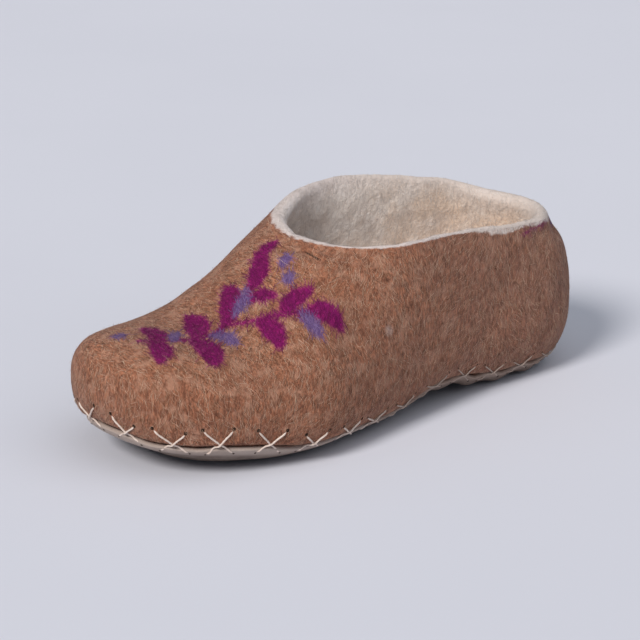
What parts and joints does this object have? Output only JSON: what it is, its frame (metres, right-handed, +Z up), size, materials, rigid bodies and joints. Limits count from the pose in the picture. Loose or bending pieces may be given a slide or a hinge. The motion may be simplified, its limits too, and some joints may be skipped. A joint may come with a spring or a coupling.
{
  "type": "felted wool slipper",
  "caption": "Low house slipper of thick felted wool, closed at toe and heel and open at the collar, on a thin leather sole turned up and cross-stitched round the edge.",
  "frame": {"origin": "middle of the slipper's box, on the floor plane under the sole", "axes": "+X from heel to toe, +Y to the outer side of the left foot, +Z up"},
  "size_m": [0.264, 0.1078, 0.0933],
  "materials": {
    "felt": "camel brown wool felt, matt, white inside",
    "leather": "undyed cream leather, matt"
  },
  "bodies": {
    "root": {"felt_upper": "felt", "leather_sole": "leather"}
  },
  "joints": []
}
